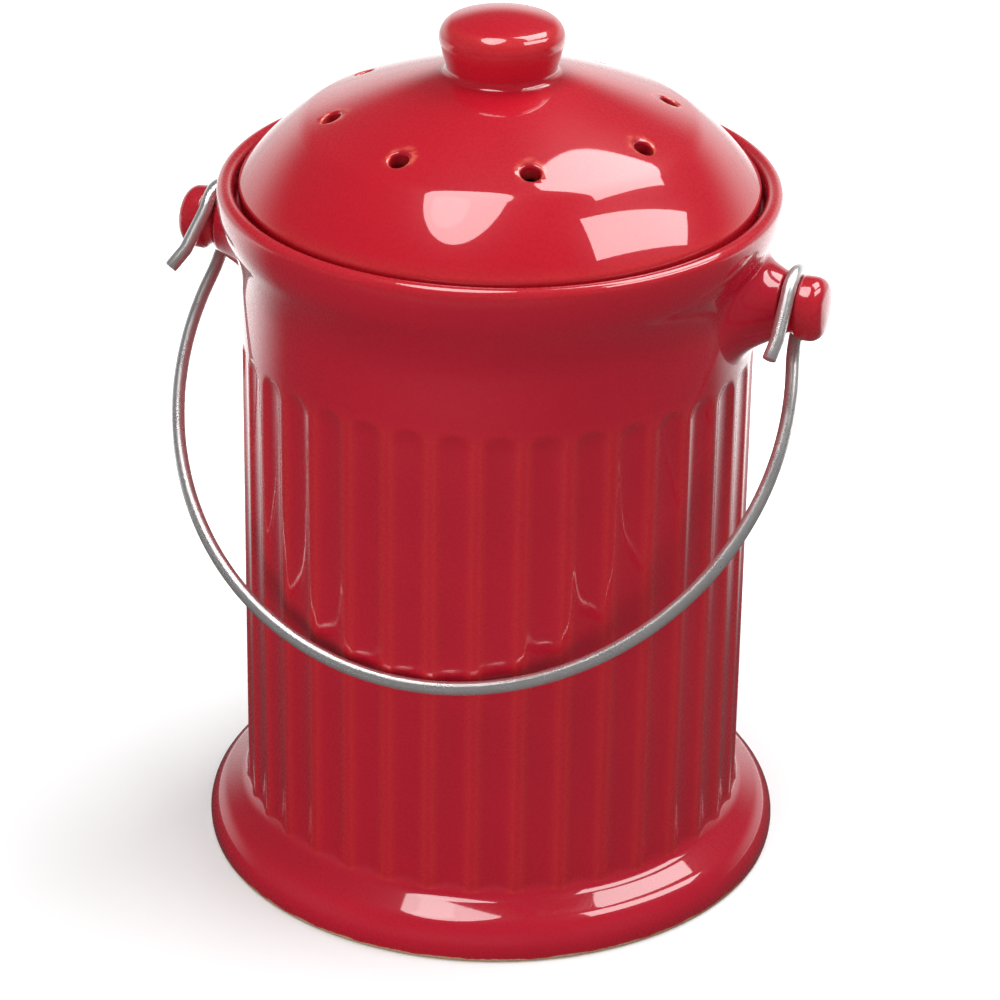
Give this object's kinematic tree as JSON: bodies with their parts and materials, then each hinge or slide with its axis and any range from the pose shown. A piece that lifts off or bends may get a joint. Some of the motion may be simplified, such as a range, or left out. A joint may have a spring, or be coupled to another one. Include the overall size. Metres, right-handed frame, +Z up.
{
  "type": "compost keeper",
  "caption": "Fluted glazed stoneware compost keeper with a vented lift-off lid, a filter in the lid and a wire bail hooked on two lugs.",
  "frame": {"origin": "centre of the foot, on the surface that the keeper stands on", "axes": "+Z up along the crock's axis, +X out through one lug, -Y towards the front, where the bail rests on the body"},
  "size_m": [0.2156, 0.1888, 0.2851],
  "materials": {
    "crock_glaze": "gloss red glaze, bare clay under the foot",
    "lid_glaze": "gloss red glaze",
    "bail_wire": "satin drawn wire",
    "filter_felt": "matt carbon felt"
  },
  "bodies": {
    "crock": {"crock": "crock_glaze"},
    "lid": {"lid": "lid_glaze"},
    "bail": {"bail": "bail_wire"},
    "filter": {"carbon_filter": "filter_felt"}
  },
  "joints": [
    {"name": "bail_swing", "type": "hinge", "parent": "crock", "child": "bail", "pos_m": [0, 0, 0.2017], "axis": [-1, 0, 0], "range_deg": [0, 284]},
    {"name": "lid_lift", "type": "slide", "parent": "crock", "child": "lid", "axis": [0, 0, 1], "range_m": [0, 0.09]},
    {"name": "filter_pull", "type": "slide", "parent": "lid", "child": "filter", "axis": [0, 0, -1], "range_m": [0, 0.04]}
  ]
}
